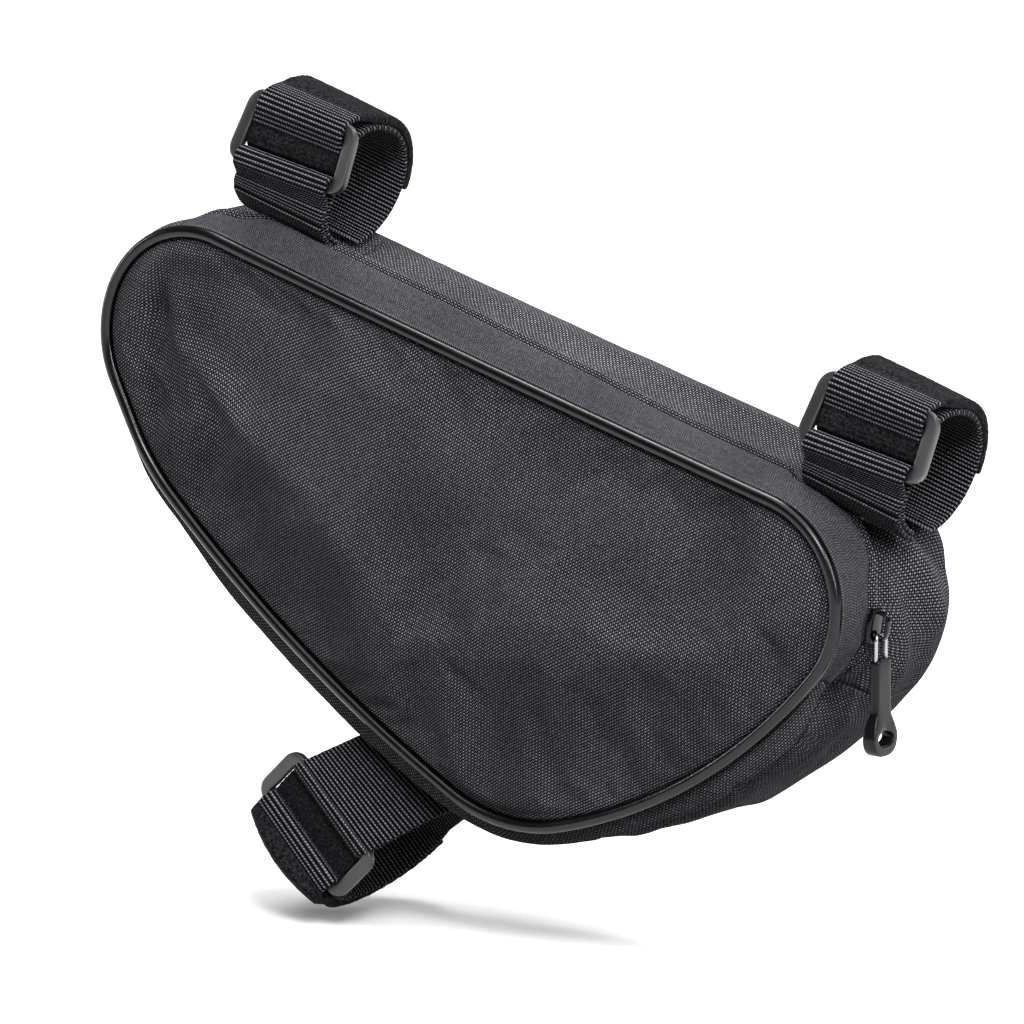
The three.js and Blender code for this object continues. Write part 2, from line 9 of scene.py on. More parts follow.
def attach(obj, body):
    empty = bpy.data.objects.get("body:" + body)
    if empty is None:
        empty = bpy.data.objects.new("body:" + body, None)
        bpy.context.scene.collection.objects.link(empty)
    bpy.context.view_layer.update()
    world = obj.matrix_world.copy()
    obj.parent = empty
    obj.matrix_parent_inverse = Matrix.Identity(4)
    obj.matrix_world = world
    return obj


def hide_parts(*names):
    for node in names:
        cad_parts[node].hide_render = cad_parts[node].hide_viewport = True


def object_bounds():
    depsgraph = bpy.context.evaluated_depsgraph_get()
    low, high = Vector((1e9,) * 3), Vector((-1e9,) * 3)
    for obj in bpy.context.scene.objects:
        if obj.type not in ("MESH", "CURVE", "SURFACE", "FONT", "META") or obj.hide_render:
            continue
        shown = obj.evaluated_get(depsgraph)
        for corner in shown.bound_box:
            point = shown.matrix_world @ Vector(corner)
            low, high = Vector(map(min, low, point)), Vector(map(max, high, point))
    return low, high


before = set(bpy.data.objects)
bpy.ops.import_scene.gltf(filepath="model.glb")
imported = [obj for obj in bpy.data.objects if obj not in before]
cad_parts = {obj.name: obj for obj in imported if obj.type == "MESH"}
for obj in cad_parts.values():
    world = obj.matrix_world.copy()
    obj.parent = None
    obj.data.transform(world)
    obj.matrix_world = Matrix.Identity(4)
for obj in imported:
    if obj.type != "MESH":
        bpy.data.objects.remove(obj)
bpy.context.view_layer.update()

bpy.ops.object.select_all(action="DESELECT")
scene = bpy.context.scene
scene.view_settings.view_transform = "Standard"

# Camera: the photograph's angle, 36 degrees round to the right and 10 degrees up.
turn, tip = math.radians(36), math.radians(10)
back = Vector((math.sin(turn) * math.cos(tip), -math.cos(turn) * math.cos(tip), math.sin(tip)))
right = Vector((math.cos(turn), math.sin(turn), 0))
up = back.cross(right)
camera_data = bpy.data.cameras.new("camera")
camera_data.sensor_width = 36
camera_data.lens = 264.1
camera_data.clip_start = 0.1
camera_data.clip_end = 60
camera = bpy.data.objects.new("camera", camera_data)
scene.collection.objects.link(camera)
axes = Matrix((right, up, back)).transposed().to_4x4()
camera.matrix_world = Matrix.Translation(back * 2.4 - right * 0.03003 - up * 0.0653) @ axes
scene.camera = camera

# Sizes in mm. The bag's own axes: x along the upper edge towards the rear, y away from the front panel,
# z square to both.
SLOPE = math.radians(17.9)
SEAM_FRONT, SEAM_REAR, FLARE, LIP = -26.5, 28.5, 1.5, 2.0
PIPING_R = 2.1
FRONT_EDGE, REAR_EDGE = -24.1, 26.1
MIDDLE_Y, HALF_Y = 1.0, 25.1
ZIP_FROM, ZIP_TO = -17.0, 296.0
WEB_WIDTH, WEB_ANCHOR, WEB_BAND = 38.0, 1.5, 1.8
UPPER_R, LOWER_R, AIR = 19.3, 22.4, 0.35
STRAPS_X = (-120.0, 115.5)
# Corner circles of the piping line: x, z, radius, and the radius of the run that follows.
CORNERS = (
    (-134.4, -65.1, 36.0, -9600.0),
    (94.7, -56.6, 33.5, 192.0),
    (20.1, -106.3, 59.1, 547.0),
    (-89.1, -42.2, 84.4, 1000.0),
)
# Closing line of the zip: distance along the piping line, depth, height.
CLOSING = (
    (-17, -20, 3.4), (-2, -18, 7), (14, -15.6, 11.2), (77, -14.6, 10.6), (128, -13.8, 9.2), (187, -13, 7.2),
    (232, -13.4, 7.4), (246, -13, 8.4), (257, -13.4, 8), (268, -16.2, 6.6), (279, -16, 6), (287, -18, 5.2),
    (296, -21.4, 3.6),
)
# How far the gusset swells beyond the piping line.
SWELL = (
    (-35, 4), (-15, 3.6), (25, 8), (225, 9), (262, 12.5), (320, 12), (350, 11), (385, 8.6), (415, 6.6),
    (440, 8.5), (470, 11.5), (500, 12.5), (560, 12.5), (600, 9), (640, 7.5), (680, 5),
)


def smooth(t):
    t = min(1.0, max(0.0, t))
    return t * t * (3 - 2 * t)


def mix(a, b, t):
    return a + (b - a) * t


def ridge(distance, width):
    return math.exp(-((distance / width) ** 2))


def piping_line():
    """The arcs of the piping line, each as centre, radius, start angle, sweep and length."""
    runs = []
    for i, (cx, cz, r, side) in enumerate(CORNERS):
        dx0, dz0, r2, _ = CORNERS[(i + 1) % 4]
        reach, reach2 = side - r, side - r2
        dx, dz = dx0 - cx, dz0 - cz
        length = math.hypot(dx, dz)
        part = (reach * reach - reach2 * reach2 + length * length) / (2 * length)
        off = math.sqrt(reach * reach - part * part) * math.copysign(1, side)
        x = cx + dx / length * part + dz / length * off
        z = cz + dz / length * part - dx / length * off
        start = math.atan2((cz - z) / reach, (cx - x) / reach)
        end = math.atan2((dz0 - z) / reach2, (dx0 - x) / reach2)
        runs.append((x, z, side, start, end))
    arcs = []
    for i, (x, z, side, start, end) in enumerate(runs):
        following = runs[(i + 1) % 4]
        cx, cz, r, _ = CORNERS[(i + 1) % 4]
        for ax, az, ar, a0, a1 in ((x, z, side, start, end), (cx, cz, r, end, following[3])):
            sweep = (a1 - a0 + math.pi) % (2 * math.pi) - math.pi
            arcs.append((ax, az, ar, a0, sweep, abs(ar * sweep)))
    return arcs


ARCS = piping_line()
PERIMETER = sum(arc[5] for arc in ARCS)


def station(s):
    """Point of the piping line and its outward direction: x, z, nx, nz."""
    rest = s % PERIMETER
    for x, z, r, start, sweep, length in ARCS:
        if rest <= length:
            break
        rest -= length
    angle = start + sweep * min(1, max(0, rest / length))
    nx, nz = math.cos(angle), math.sin(angle)
    return x + r * nx, z + r * nz, nx, nz


def along(rows, s, key):
    if s <= rows[0][0]:
        return rows[0][key]
    for a, b in zip(rows, rows[1:]):
        if s < b[0]:
            return mix(a[key], b[key], smooth((s - a[0]) / (b[0] - a[0])))
    return rows[-1][key]


def counted(s):
    return (s + 100) % PERIMETER - 100


def closing_at(s):
    w = counted(s)
    return along(CLOSING, w, 1), along(CLOSING, w, 2)


ROUND = SWELL + ((PERIMETER + SWELL[0][0], SWELL[0][1]),)


def swell_at(s):
    return along(ROUND, (s - SWELL[0][0]) % PERIMETER + SWELL[0][0], 1)


def spread(y):
    return FLARE * smooth((y - SEAM_FRONT) / (SEAM_REAR - SEAM_FRONT))


def height(s, y):
    """How far the gusset stands out from the piping line."""
    x, z, nx, nz = station(s)
    w = counted(s)
    line_y, line_h = closing_at(s)
    share = smooth((w - ZIP_FROM + 24) / 24) * smooth((ZIP_TO + 24 - w) / 24)
    v = min(1, abs(y - MIDDLE_Y) / HALF_Y)
    plain = LIP + (swell_at(s) - LIP) * math.sqrt(max(0, 1 - v**4))
    shoulder = min(1, max(0, (y - FRONT_EDGE) / (line_y - FRONT_EDGE)))
    ahead = LIP + (line_h - LIP) * math.sin(shoulder * math.pi / 2)
    behind = mix(line_h, plain, smooth((y - line_y) / 20))
    h = mix(plain, ahead if y < line_y else behind, share)
    nearest = min(abs(x - sx) for sx in STRAPS_X)
    window = 1 - smooth((nearest - 21) / 6)
    clear = UPPER_R + 0.95 + window * 3.6
    if abs(y) < clear and nz > 0.5:
        h = min(h, (-math.sqrt(clear * clear - y * y) - z) / nz - spread(y))
    return h


def place(s, u, y):
    x, z, nx, nz = station(s)
    out = u + spread(y)
    return (x + nx * out, y, z + nz * out)


def upright(points):
    """From the bag's axes in mm to the row frame in metres."""
    p = np.asarray(points, float)
    c, s = math.cos(SLOPE), math.sin(SLOPE)
    return np.stack([p[..., 0] * c + p[..., 2] * s, p[..., 1], p[..., 2] * c - p[..., 0] * s], -1) * 0.001


def ripple(x, y, z, size, seed=0.0):
    """Smooth unevenness from -1 to 1, with bumps about size mm across."""
    return noise.noise(Vector((x / size + seed, y / size, z / size)))


# ---------------------------------------------------------------- materials


def colour(code):
    parts = [int(code[i : i + 2], 16) / 255 for i in (1, 3, 5)]
    return [p / 12.92 if p <= 0.04045 else ((p + 0.055) / 1.055) ** 2.4 for p in parts] + [1]


def add(tree, kind, settings, links=()):
    """Adds a node with its settings and links, and returns its first output. Settings are properties or sockets."""
    node = tree.nodes.new("ShaderNode" + kind)
    for key, value in settings.items():
        if isinstance(key, str) and hasattr(node, key):
            setattr(node, key, value)
        else:
            node.inputs[key].default_value = value
    for key, source in dict(links).items():
        tree.links.new(source, node.inputs[key])
    return node.outputs[0] if node.outputs else node


def material(name, settings):
    m = bpy.data.materials.new(name)
    m.use_nodes = True
    tree = m.node_tree
    shader = tree.nodes["Principled BSDF"]
    for key, value in settings.items():
        shader.inputs[key].default_value = value
    return m, tree, shader


def finish_material(tree, shader, base, relief, distance, strength=1.0, rough=None):
    tree.links.new(base, shader.inputs["Base Color"])
    bump = add(tree, "Bump", {"Strength": strength, "Distance": distance}, {"Height": relief})
    tree.links.new(bump, shader.inputs["Normal"])
    if rough is not None:
        tree.links.new(rough, shader.inputs["Roughness"])


def woven(name, dark, light, warp, weft, relief, settings, chevron=0.0):
    """Plain weave in the piece's own thread coordinates, in mm: raised crossings coloured lighter as painted highlight,
    every other one lighter still as painted highlight.
    With chevron, the threads turn back and forth every chevron mm."""
    m, tree, shader = material(name, settings)
    uv = add(tree, "UVMap", {"uv_map": "threads"})
    place_ = tree.nodes.new("ShaderNodeTexCoord").outputs["Object"]
    wander = add(tree, "TexNoise", {"Scale": 110.0, "Detail": 2.0}, {"Vector": place_})
    wander = add(tree, "Math", {"operation": "MULTIPLY_ADD", 1: 1.1, 2: -0.55}, {0: wander})
    split = tree.nodes.new("ShaderNodeSeparateXYZ")
    tree.links.new(uv, split.inputs[0])
    ends = [split.outputs[0], split.outputs[1]]
    if chevron:
        bent = add(tree, "Math", {"operation": "PINGPONG", 1: chevron}, {0: ends[1]})
        ends[0] = add(tree, "Math", {"operation": "MULTIPLY_ADD", 1: 1.2}, {0: bent, 2: ends[0]})
    waves = []
    for axis, pitch in ((0, warp), (1, weft)):
        turned = add(tree, "Math", {"operation": "MULTIPLY", 1: math.pi / pitch}, {0: ends[axis]})
        turned = add(tree, "Math", {"operation": "ADD"}, {0: turned, 1: wander})
        waves.append(add(tree, "Math", {"operation": "COSINE"}, {0: turned}))
    crossing = add(tree, "Math", {"operation": "MULTIPLY"}, {0: waves[0], 1: waves[1]})
    mass = add(tree, "Math", {"operation": "ABSOLUTE"}, {0: crossing})
    raised = add(tree, "Math", {"operation": "POWER", 1: 0.8}, {0: mass})
    # Painted highlight: the raised crossings are coloured lighter, and every other crossing lighter still.
    tone = add(tree, "MapRange", {"From Min": 0.2, "From Max": 0.95}, {"Value": mass})
    side = add(tree, "MapRange", {"From Min": -0.5, "From Max": 0.5, "To Min": 0.32, "To Max": 1.0}, {"Value": crossing})
    side = add(tree, "Math", {"operation": "MULTIPLY"}, {0: side, 1: tone})
    # Threads differ a little in shade, and broad patches lie smoother than others.
    slub = add(tree, "TexNoise", {"Scale": 900.0, "Detail": 3.0}, {"Vector": place_})
    slub = add(tree, "MapRange", {"From Min": 0.3, "From Max": 0.7, "To Min": 0.5, "To Max": 1.15}, {"Value": slub})
    patch = add(tree, "TexNoise", {"Scale": 28.0, "Detail": 4.0}, {"Vector": place_})
    patch = add(tree, "MapRange", {"From Min": 0.3, "From Max": 0.7, "To Min": 0.6, "To Max": 1.0}, {"Value": patch})
    share = add(tree, "Math", {"operation": "MULTIPLY"}, {0: side, 1: slub})
    share = add(tree, "Math", {"operation": "MULTIPLY"}, {0: share, 1: patch})
    base = tree.nodes.new("ShaderNodeMix")
    base.data_type = "RGBA"
    base.inputs[6].default_value = colour(dark)
    base.inputs[7].default_value = colour(light)
    tree.links.new(share, base.inputs[0])
    finish_material(tree, shader, base.outputs[2], raised, relief)
    return m


def ribbed(name, dark, light, settings):
    """Webbing: ribs across the strap with thread dots along them, painted highlights on the rib crests and dots, and a
    fuzzy hook-and-loop face where the piece's hook attribute is 1; on the band that attribute also paints the dark face
    into the recess behind the ring as painted shade."""
    m, tree, shader = material(name, settings)
    uv = add(tree, "UVMap", {"uv_map": "threads"})
    split = tree.nodes.new("ShaderNodeSeparateXYZ")
    tree.links.new(uv, split.inputs[0])
    coord = tree.nodes.new("ShaderNodeTexCoord").outputs["Object"]
    hook = tree.nodes.new("ShaderNodeAttribute")
    hook.attribute_name = "hook"
    hook = hook.outputs["Fac"]
    rib = add(tree, "Math", {"operation": "MULTIPLY", 1: 2 * math.pi / 1.4}, {0: split.outputs[1]})
    rib = add(tree, "Math", {"operation": "COSINE"}, {0: rib})
    half = add(tree, "Math", {"operation": "MULTIPLY", 1: math.pi / 1.4}, {0: split.outputs[1]})
    dots = add(tree, "Math", {"operation": "MULTIPLY_ADD", 1: 2 * math.pi / 1.15}, {0: split.outputs[0], 2: half})
    dots = add(tree, "Math", {"operation": "COSINE"}, {0: dots})
    # Painted highlight: the rib crests and thread dots are coloured lighter.
    painted_crest_highlight = add(tree, "MapRange", {"From Min": 0.0, "From Max": 1.0}, {"Value": rib})
    dot = add(tree, "MapRange", {"From Min": -0.7, "From Max": 0.8, "To Min": 0.22, "To Max": 1.0}, {"Value": dots})
    web = add(tree, "Math", {"operation": "MULTIPLY"}, {0: painted_crest_highlight, 1: dot})
    # The hooks are drawn about 0.9 mm apart, coarser than they are, so that they still show from a distance.
    fuzz = add(tree, "TexNoise", {"Scale": 1100.0, "Detail": 4.0, "Roughness": 0.7}, {"Vector": coord})
    fuzz_tone = add(tree, "MapRange", {"From Min": 0.42, "From Max": 0.75, "To Min": 0.004, "To Max": 0.14}, {"Value": fuzz})
    tone = add(tree, "Mix", {}, {0: hook, 2: web, 3: fuzz_tone})
    relief = add(tree, "Mix", {}, {0: hook, 2: web, 3: fuzz})
    slub = add(tree, "TexNoise", {"Scale": 700.0, "Detail": 2.0}, {"Vector": coord})
    slub = add(tree, "MapRange", {"From Min": 0.3, "From Max": 0.7, "To Min": 0.55, "To Max": 1.0}, {"Value": slub})
    tone = add(tree, "Math", {"operation": "MULTIPLY"}, {0: tone, 1: slub})
    base = tree.nodes.new("ShaderNodeMix")
    base.data_type = "RGBA"
    base.inputs[6].default_value = colour(dark)
    base.inputs[7].default_value = colour(light)
    tree.links.new(tone, base.inputs[0])
    finish_material(tree, shader, base.outputs[2], relief, 0.0004)
    return m


def moulded(name, dark, light, scale, relief, rough, settings):
    """Moulded plastic, vinyl or enamel: a faint drift of shade and gloss over a fine grain."""
    m, tree, shader = material(name, settings)
    coord = tree.nodes.new("ShaderNodeTexCoord").outputs["Object"]
    grain = add(tree, "TexNoise", {"Scale": scale, "Detail": 4.0}, {"Vector": coord})
    drift = add(tree, "TexNoise", {"Scale": 70.0, "Detail": 3.0}, {"Vector": coord})
    shade = add(tree, "MapRange", {"From Min": 0.3, "From Max": 0.7}, {"Value": drift})
    gloss = add(tree, "MapRange", {"From Min": 0.3, "From Max": 0.7, "To Min": rough[0], "To Max": rough[1]}, {"Value": drift})
    base = tree.nodes.new("ShaderNodeMix")
    base.data_type = "RGBA"
    base.inputs[6].default_value = colour(dark)
    base.inputs[7].default_value = colour(light)
    tree.links.new(shade, base.inputs[0])
    finish_material(tree, shader, base.outputs[2], grain, relief, rough=gloss)
    return m


# Coarse black polyester: painted highlights on the thread crossings, grey on near black, give it a peppery look.
cloth_panel = woven("woven_polyester", "#040405", "#a0a0a8", 0.66, 0.88, 0.0005, {"Roughness": 0.85, "Specular IOR Level": 0.04})
# The same cloth on the gusset, its rows running across.
cloth_side = woven("woven_polyester_side", "#040405", "#acacb4", 0.74, 0.78, 0.0005, {"Roughness": 0.85, "Specular IOR Level": 0.04})
# Fine zip tape in herringbone, smoother and more even than the cloth, with painted highlights on its crossings.
tape_cloth = woven("zip_tape_cloth", "#1b1b1e", "#8a8a92", 0.42, 0.5, 0.0002, {"Roughness": 0.8, "Specular IOR Level": 0.08}, 2.4)
# Black ribbed webbing: painted highlights on the rib crests over deep black.
web_cloth = ribbed("ribbed_webbing", "#010102", "#8c8c93", {"Roughness": 0.8, "Specular IOR Level": 0.05})
# Satin black vinyl of the piping: long narrow highlights.
piping_vinyl = moulded("piping_vinyl", "#010102", "#040405", 1400.0, 0.00003, (0.17, 0.27), {"Specular IOR Level": 0.26})
# Satin moulded plastic of the rings: grey glints on its bevels.
ring_plastic = moulded("ring_plastic", "#09090a", "#121214", 2600.0, 0.00006, (0.36, 0.48), {"Specular IOR Level": 0.6})
# Softer plastic of the grip.
grip_plastic = moulded("grip_plastic", "#070709", "#0c0c0e", 2200.0, 0.00004, (0.18, 0.26), {"Specular IOR Level": 0.16})
# Black enamel of the slider: small sharp glints.
slider_enamel = moulded("slider_enamel", "#010102", "#020203", 1800.0, 0.00003, (0.08, 0.14), {"Specular IOR Level": 0.16})
# Dark plated wire with bright glints.
plated_wire = moulded("plated_wire", "#77777c", "#909096", 1500.0, 0.00003, (0.14, 0.24), {"Metallic": 1.0})
# Nylon coil under the tape.
coil_nylon = moulded("coil_nylon", "#0c0c0d", "#161617", 1500.0, 0.0001, (0.4, 0.55), {})
# Matt pale floor.
floor_paint = moulded("floor_paint", "#f0f0f0", "#f4f4f4", 300.0, 0.00002, (0.7, 0.8), {})

# ---------------------------------------------------------------- pieces


def grid_piece(name, points, threads, close_rows=False, close_columns=False, extra=None):
    """A grid whose points are moved onto the given rows and columns; threads are its coordinates in mm."""
    points = np.asarray(points, float)
    rows, columns = points.shape[:2]
    bpy.ops.mesh.primitive_grid_add(x_subdivisions=columns - 1, y_subdivisions=rows - 1, size=2, location=(0, 0, 0))
    piece = bpy.context.object
    piece.name = name
    mesh = piece.data
    co = np.empty(len(mesh.vertices) * 3)
    mesh.vertices.foreach_get("co", co)
    co = co.reshape(-1, 3)
    j = np.rint((co[:, 0] + 1) / 2 * (columns - 1)).astype(int)
    i = np.rint((co[:, 1] + 1) / 2 * (rows - 1)).astype(int)
    mesh.vertices.foreach_set("co", points[i, j].ravel())
    layer = mesh.uv_layers.get("UVMap") or mesh.uv_layers.new(name="threads")
    layer.name = "threads"
    corner = np.empty(len(mesh.loops), int)
    mesh.loops.foreach_get("vertex_index", corner)
    layer.data.foreach_set("uv", np.asarray(threads, float)[i, j][corner].ravel())
    if extra is not None:
        attribute = mesh.attributes.new("hook", "FLOAT", "POINT")
        attribute.data.foreach_set("value", np.asarray(extra, float)[i, j].astype(np.float32))
    if close_rows or close_columns:
        bpy.ops.object.mode_set(mode="EDIT")
        bpy.ops.mesh.select_all(action="SELECT")
        bpy.ops.mesh.remove_doubles(threshold=0.000001)
        bpy.ops.object.mode_set(mode="OBJECT")
    return piece


def out_faces(piece, inside):
    """Turns the faces outward; inside is a point in the row frame on the inner side, or None for a closed body."""
    bpy.context.view_layer.objects.active = piece
    bpy.ops.object.mode_set(mode="EDIT")
    bpy.ops.mesh.select_all(action="SELECT")
    bpy.ops.mesh.normals_make_consistent(inside=False)
    bpy.ops.object.mode_set(mode="OBJECT")
    if inside is not None:
        total = sum((f.center - inside).dot(f.normal) * f.area for f in piece.data.polygons)
        if total < 0:
            piece.data.flip_normals()


def apply(piece, kind, **settings):
    modifier = piece.modifiers.new(kind.lower(), kind)
    for key, value in settings.items():
        setattr(modifier, key, value)
    bpy.context.view_layer.objects.active = piece
    bpy.ops.object.modifier_apply(modifier=modifier.name)


def done(piece, surface, body, slot, *nodes):
    piece.data.materials.clear()
    piece.data.materials.append(surface)
    for face in piece.data.polygons:
        face.use_smooth = True
    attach(piece, body)
    if nodes:
        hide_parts(*nodes)
    piece.select_set(False)
    return piece


INSIDE = Vector(upright((-10, 0, -88)))

# Panels: a square grid drawn onto the outline, crowned, then blown out a little as cloth with its edge held.
POLE = (-10.0, -88.0)
GRAIN = math.radians(46.3)
# Soft folds pressed into the front panel: x, z at both ends, depth, half width.
PANEL_FOLDS = (
    (-156, -38, -151, -62, 2.4, 4.0),
    (-151, -62, -142, -92, 2.6, 5.0),
    (36, -122, 50, -150, 1.1, 4.0),
    (55, -112, 68, -143, 1.0, 4.0),
    (70, -120, 84, -128, 0.5, 4.0),
)


# The panel's outermost rows turn down beside the piping: distance from the piping line, and rise.
PANEL_EDGE = ((-1.7, -1.3), (-2.25, -0.3), (-2.9, 0.35), (-4.2, 0.6))


def from_line(x, z, ax, az, bx, bz):
    t = min(1, max(0, ((x - ax) * (bx - ax) + (z - az) * (bz - az)) / ((bx - ax) ** 2 + (bz - az) ** 2)))
    return math.hypot(x - mix(ax, bx, t), z - mix(az, bz, t))


def panel(name, seam, bulge, n=108):
    side = math.copysign(1, seam)
    points = np.zeros((n + 1, n + 1, 3))
    for i in range(n + 1):
        for j in range(n + 1):
            a, b = 2 * i / n - 1, 2 * j / n - 1
            inward = round((1 - max(abs(a), abs(b))) * n / 2)
            # Even steps round the square become even steps round the outline.
            if abs(a) >= abs(b):
                turn_ = (b / a if a else 0) * 45 + (0 if a > 0 else 180)
            else:
                turn_ = 90 * math.copysign(1, b) - a / b * 45
            s = (-turn_ / 360 * PERIMETER + 190) % PERIMETER
            share = min(1, (n / 2 - inward) / (n / 2 - 3))
            u, tuck = PANEL_EDGE[min(3, inward)]
            x, y, z = place(s, u, seam)
            rise = abs(seam) + bulge * (1 - share**2.4) + tuck
            points[i, j] = (mix(POLE[0], x, share), side * rise, mix(POLE[1], z, share))
    c, s = math.cos(GRAIN), math.sin(GRAIN)
    bend = np.array([[ripple(p[0], 0, p[2], 70, 3.0) * 5 - 12 * ridge(math.hypot(p[0] + 118, p[2] + 40), 42) for p in row] for row in points])
    u = points[..., 0] * c + points[..., 2] * s + bend
    v = -points[..., 0] * s + points[..., 2] * c + bend * 0.6
    piece = grid_piece(name, upright(points), np.stack([u, v], -1))
    out_faces(piece, INSIDE)
    mesh = piece.data
    hold = piece.vertex_groups.new(name="hold")
    ring_of = np.array([[min(i, j, n - i, n - j) for j in range(n + 1)] for i in range(n + 1)]).ravel()
    edge = np.flatnonzero(ring_of <= 3).tolist()
    hold.add(edge, 1.0, "REPLACE")
    start = np.array([vert.co for vert in mesh.vertices])
    cloth = piece.modifiers.new("cloth", "CLOTH")
    cloth.settings.quality = 6
    cloth.settings.mass = 0.3
    cloth.settings.tension_stiffness = cloth.settings.compression_stiffness = 18
    cloth.settings.bending_stiffness = 3.5
    cloth.settings.shrink_min = -0.012
    cloth.settings.use_pressure = True
    cloth.settings.uniform_pressure_force = 1.1
    cloth.settings.effector_weights.gravity = 0
    cloth.settings.vertex_group_mass = "hold"
    cloth.collision_settings.use_collision = False
    for step in range(1, 21):
        scene.frame_set(step)
    bpy.context.view_layer.objects.active = piece
    bpy.ops.object.modifier_apply(modifier=cloth.name)
    scene.frame_set(1)
    now = np.array([vert.co for vert in mesh.vertices])
    move = now - start
    far = np.linalg.norm(move, axis=1)
    cap = 0.0032
    now = start + move * np.where(far > cap, cap / np.maximum(far, 1e-9), 1.0)[:, None]
    c, s = math.cos(SLOPE), math.sin(SLOPE)
    for k, (x, y, z) in enumerate(now * 1000):
        bx, bz = x * c - z * s, x * s + z * c
        share = 0.0
        if side < 0:
            for ax, az, cx, cz, depth, width in PANEL_FOLDS:
                share += depth * ridge(from_line(bx, bz, ax, az, cx, cz), width)
        share += 0.35 * ripple(bx, 5, bz, 38, side)
        now[k, 1] -= side * share * smooth((ring_of[k] - 3) / 5) * 0.001
    mesh.vertices.foreach_set("co", now.ravel())
    mesh.update()
    apply(piece, "SUBSURF", levels=1, render_levels=1)
    apply(piece, "SOLIDIFY", thickness=0.0014, offset=-1)
    return piece


front_panel = done(panel("front_panel_cloth", SEAM_FRONT, 9), cloth_panel, "bag", "cloth", "front_panel")
back_panel = done(panel("back_panel_cloth", SEAM_REAR, 7, 90), cloth_panel, "bag", "cloth", "back_panel")

# Piping: a round cord in vinyl all the way round each panel.
for name, seam, node in (("front_piping_cord", SEAM_FRONT, "front_piping"), ("back_piping_cord", SEAM_REAR, "back_piping")):
    rows, sides = 400, 24
    points, threads = [], []
    for i in range(rows + 1):
        s = i / rows * PERIMETER
        x, z, nx, nz = station(s)
        r = PIPING_R + 0.07 * ripple(x, seam, z, 16)
        row = []
        for k in range(sides + 1):
            a = k / sides * 2 * math.pi
            px, _, pz = place(s, r * math.cos(a), seam)
            row.append((px, seam + r * math.sin(a), pz))
        points.append(row)
        threads.append([(s, k) for k in range(sides + 1)])
    piece = grid_piece(name, upright(points), threads, True, True)
    out_faces(piece, None)
    done(piece, piping_vinyl, "bag", "vinyl", node)

# Soft folds of the gusset: distance along and depth at both ends, height (below zero a valley), half width.
SIDE_FOLDS = (
    (252, -9.3, 271, -10.3, -3.2, 2.4),
    (254, -3, 276, 12, 2.8, 4.0),
    (254, 5, 266, 19, -3.2, 3.6),
    (262, -6, 284, 3, -1.2, 2.4),
    (284, -15, 296, -19.5, -1.6, 1.8),
    (274, 0, 292, 12, -1.1, 3.5),
    (278, -5, 298, 2, 1.2, 4.0),
    (283, -9, 300, -12, -1.2, 2.6),
    (298, -16.8, 318, -18.3, -3.6, 2.3),
    (318, -18.3, 345, -18.8, -2.8, 2.2),
    (345, -18.8, 400, -18.8, -1.5, 2.2),
    (300, -21.5, 640, -21.7, 1.7, 2.2),
    (306, -8, 330, -12, 1.0, 3.5),
    (318, 0, 352, 8, -1.1, 4.0),
    (345, -12, 392, -14, 0.8, 4.0),
    (330, -2, 362, 12, 0.9, 5.0),
    (232, 4, 240, 20, -1.2, 4.0),
    (216, -2, 226, 18, 0.8, 4.0),
    (380, -6, 430, 2, -0.7, 5.0),
    (430, 6, 470, 16, 0.8, 6.0),
    (500, -8, 560, 4, 0.8, 7.0),
    (560, 4, 600, 14, -1.0, 6.0),
    (610, -6, 640, 10, 0.9, 5.0),
)
TAPE_FOLDS = (
    (286, -20.5, 295, -22.5, -1.0, 1.8),
    (236, -23, 246, -14, -0.8, 2.2),
    (243, -23, 254, -14, 0.7, 2.2),
    (251, -23, 262, -16, -0.6, 2.4),
    (14, -22, 24, -16, 0.4, 4.0),
    (110, -22, 118, -14, -0.35, 5.0),
    (180, -22, 192, -14, 0.35, 5.0),
)


def fold_sum(rows, s, y):
    total = 0.0
    w = counted(s)
    for s0, y0, s1, y1, h, width in rows:
        if s0 - 25 < w < s1 + 25:
            # A fold longer than 100 mm runs out gently at both ends.
            taper = smooth(min(w - s0, s1 - w) / 30) if s1 - s0 > 100 else 1.0
            total += h * taper * ridge(from_line(w, y, s0, y0, s1, y1), width)
    return total


def skin(name, s_from, s_to, near, far, across, folds, thick, hem=None, step=1.5):
    """A strip of the gusset between two depths, with its folds; hem gives the extra height of a sewn edge."""
    count = int((s_to - s_from) / step)
    points, threads = [], []
    for i in range(count + 1):
        s = mix(s_from, s_to, i / count)
        y0, y1 = near(s), far(s)
        row, thread, length, last = [], [], 0.0, None
        for j in range(across + 1):
            t = j / across
            y = mix(y0, y1, t)
            edge = min(1, (y - y0) / 2.5, (y1 - y) / 2.5) if y1 - y0 > 5 else min(1, t * 3, (1 - t) * 3)
            fade = smooth(edge)
            p = place(s, height(s, y), y)
            h = height(s, y) + fade * (fold_sum(folds, s, y) + 0.35 * ripple(p[0], y, p[2], 17) + 0.12 * ripple(p[0], y, p[2], 6, 7))
            if hem:
                h += hem(y - y0, y1 - y) * smooth(min(s - s_from, s_to - s) / 12)
            p = place(s, h, y)
            length += math.dist(p, last) if last else 0.0
            last = p
            row.append(p)
            thread.append((s, length))
        points.append(row)
        threads.append(thread)
    piece = grid_piece(name, upright(points), threads)
    out_faces(piece, INSIDE)
    apply(piece, "SOLIDIFY", thickness=thick * 0.001, offset=-1)
    return piece


def folded_edge(near, far):
    """The strip behind the zip is folded under along its edge and stitched down 2.4 mm from it."""
    return 1.1 * ridge(near - 1.3, 0.8) - 0.8 * ridge(near - 2.7, 0.5) - 1.9 * ridge(near, 0.7)


def tape_edge(near, far):
    return -1.3 * ridge(far, 0.9) - 0.3 * ridge(near - 2.6, 0.35)


